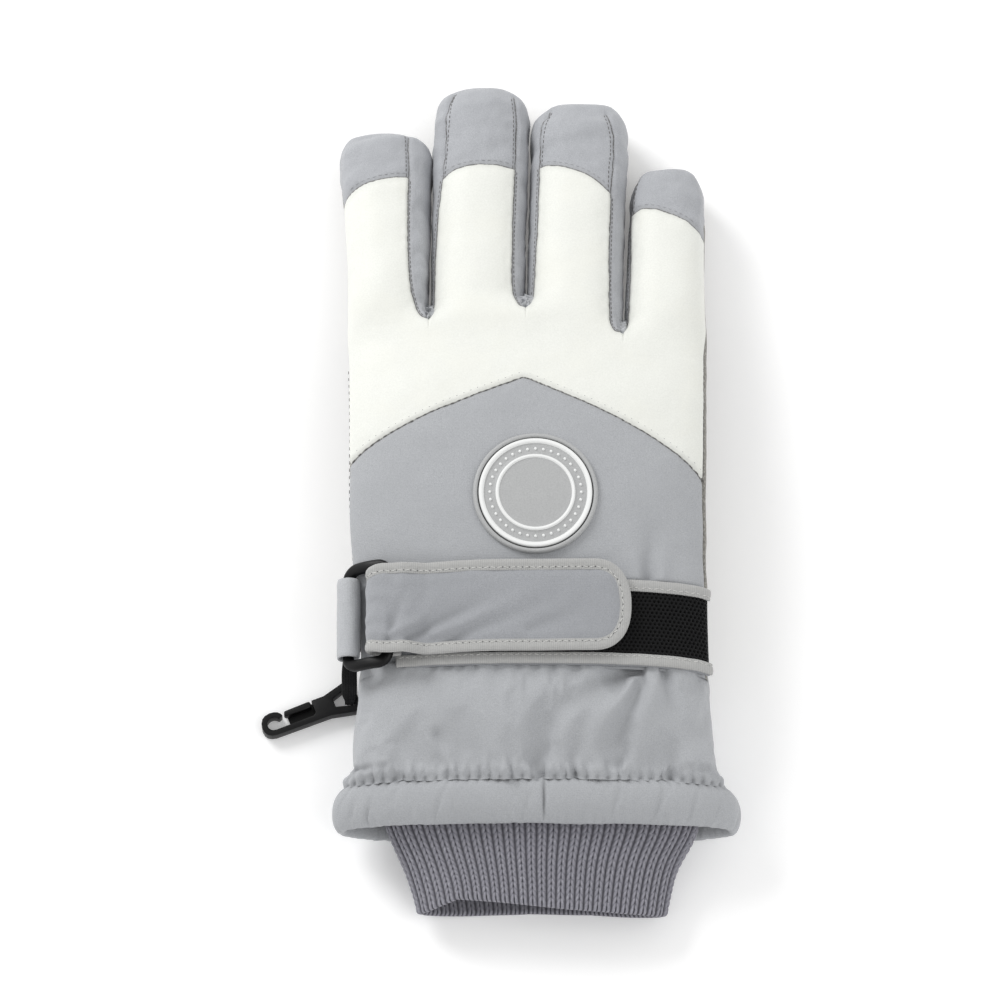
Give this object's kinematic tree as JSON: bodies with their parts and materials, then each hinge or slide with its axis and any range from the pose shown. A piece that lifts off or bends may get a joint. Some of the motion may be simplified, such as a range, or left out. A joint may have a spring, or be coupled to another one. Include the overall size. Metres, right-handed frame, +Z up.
{
  "type": "ski glove",
  "caption": "Insulated right-hand ski glove, palm down: padded gauntlet, rib-knit cuff, wrist strap through a ring, round back badge and a small snap clip.",
  "frame": {"origin": "on the surface the glove lies on, under the middle of the glove with its clip", "axes": "+Y towards the fingertips, +Z up out of the back of the hand, -X towards the thumb"},
  "size_m": [0.1603, 0.296, 0.048],
  "materials": {
    "shell_white": "smooth coated synthetic, matt",
    "shell_grey": "brushed softshell",
    "cap_grey": "smooth coated synthetic",
    "palm_grey": "coarse grip fabric",
    "wadding": "needled wadding bonded to brushed lining",
    "fleece": "brushed fleece",
    "rib_knit": "heather rib knit",
    "pile_black": "loop pile",
    "binding": "folded bias binding",
    "webbing_black": "woven webbing",
    "plastic_black": "moulded acetal, satin",
    "badge_rubber": "soft moulded rubber"
  },
  "bodies": {
    "hand": {"back_panel_lower": "shell_grey", "back_panel_upper": "shell_white", "palm_panel": "palm_grey", "hand_insulation": "wadding", "hand_lining": "fleece", "gauntlet_back": "shell_grey", "gauntlet_palm": "shell_grey", "gauntlet_liner": "wadding", "rolled_hem": "shell_grey", "knit_cuff": "rib_knit", "strap_band": "shell_grey", "strap_pile_face": "pile_black", "band_binding_upper": "binding", "band_binding_lower": "binding", "ring_tab": "shell_grey", "badge": "badge_rubber", "clip_webbing": "webbing_black"},
    "ring": {"strap_ring": "plastic_black"},
    "flap": {"flap_panel": "shell_grey", "flap_binding": "binding", "flap_hook_patch": "pile_black"},
    "clip": {"clip_body": "plastic_black"},
    "clip_gate": {"clip_gate": "plastic_black"},
    "index_finger": {"index_back": "shell_white", "index_gusset_right": "shell_grey", "index_palm": "palm_grey", "index_cap": "cap_grey", "index_liner": "wadding"},
    "middle_finger": {"middle_back": "shell_white", "middle_gusset_left": "shell_grey", "middle_gusset_right": "shell_grey", "middle_palm": "palm_grey", "middle_cap": "cap_grey", "middle_liner": "wadding"},
    "ring_finger": {"ring_back": "shell_white", "ring_gusset_left": "shell_grey", "ring_gusset_right": "shell_grey", "ring_palm": "palm_grey", "ring_cap": "cap_grey", "ring_liner": "wadding"},
    "pinky_finger": {"pinky_back": "shell_white", "pinky_gusset_left": "shell_grey", "pinky_palm": "palm_grey", "pinky_cap": "cap_grey", "pinky_liner": "wadding"},
    "thumb": {"thumb_back": "shell_grey", "thumb_palm": "palm_grey", "thumb_cap": "cap_grey", "thumb_liner": "wadding"}
  },
  "joints": [
    {"name": "index_bend", "type": "hinge", "parent": "hand", "child": "index_finger", "pos_m": [-0.03785, 0.046, 0.022], "axis": [-1, 0, 0], "range_deg": [0, 60]},
    {"name": "middle_bend", "type": "hinge", "parent": "hand", "child": "middle_finger", "pos_m": [-0.00765, 0.046, 0.022], "axis": [-1, 0, 0], "range_deg": [0, 60]},
    {"name": "ring_bend", "type": "hinge", "parent": "hand", "child": "ring_finger", "pos_m": [0.02515, 0.046, 0.022], "axis": [-1, 0, 0], "range_deg": [0, 60]},
    {"name": "pinky_bend", "type": "hinge", "parent": "hand", "child": "pinky_finger", "pos_m": [0.05595, 0.046, 0.022], "axis": [-1, 0, 0], "range_deg": [0, 60]},
    {"name": "thumb_swing", "type": "hinge", "parent": "hand", "child": "thumb", "pos_m": [-0.04465, -0.005, 0.009], "axis": [0, 1, 0], "range_deg": [0, 110]},
    {"name": "ring_pivot", "type": "hinge", "parent": "hand", "child": "ring", "pos_m": [-0.05055, -0.053, 0.0334], "axis": [0, -1, 0], "range_deg": [0, 30]},
    {"name": "flap_peel", "type": "hinge", "parent": "ring", "child": "flap", "pos_m": [-0.03735, -0.053, 0.041], "axis": [0, -1, 0], "range_deg": [0, 105]},
    {"name": "clip_swing", "type": "hinge", "parent": "hand", "child": "clip", "pos_m": [-0.05055, -0.0702, 0.0024], "axis": [0, 0, 1], "range_deg": [-30, 60]},
    {"name": "clip_gate", "type": "hinge", "parent": "clip", "child": "clip_gate", "pos_m": [-0.06439, -0.07294, 0.0024], "axis": [0, 0, 1], "range_deg": [0, 15], "stiffness_Nm_per_rad": 0.02, "springref_deg": -5.16}
  ]
}
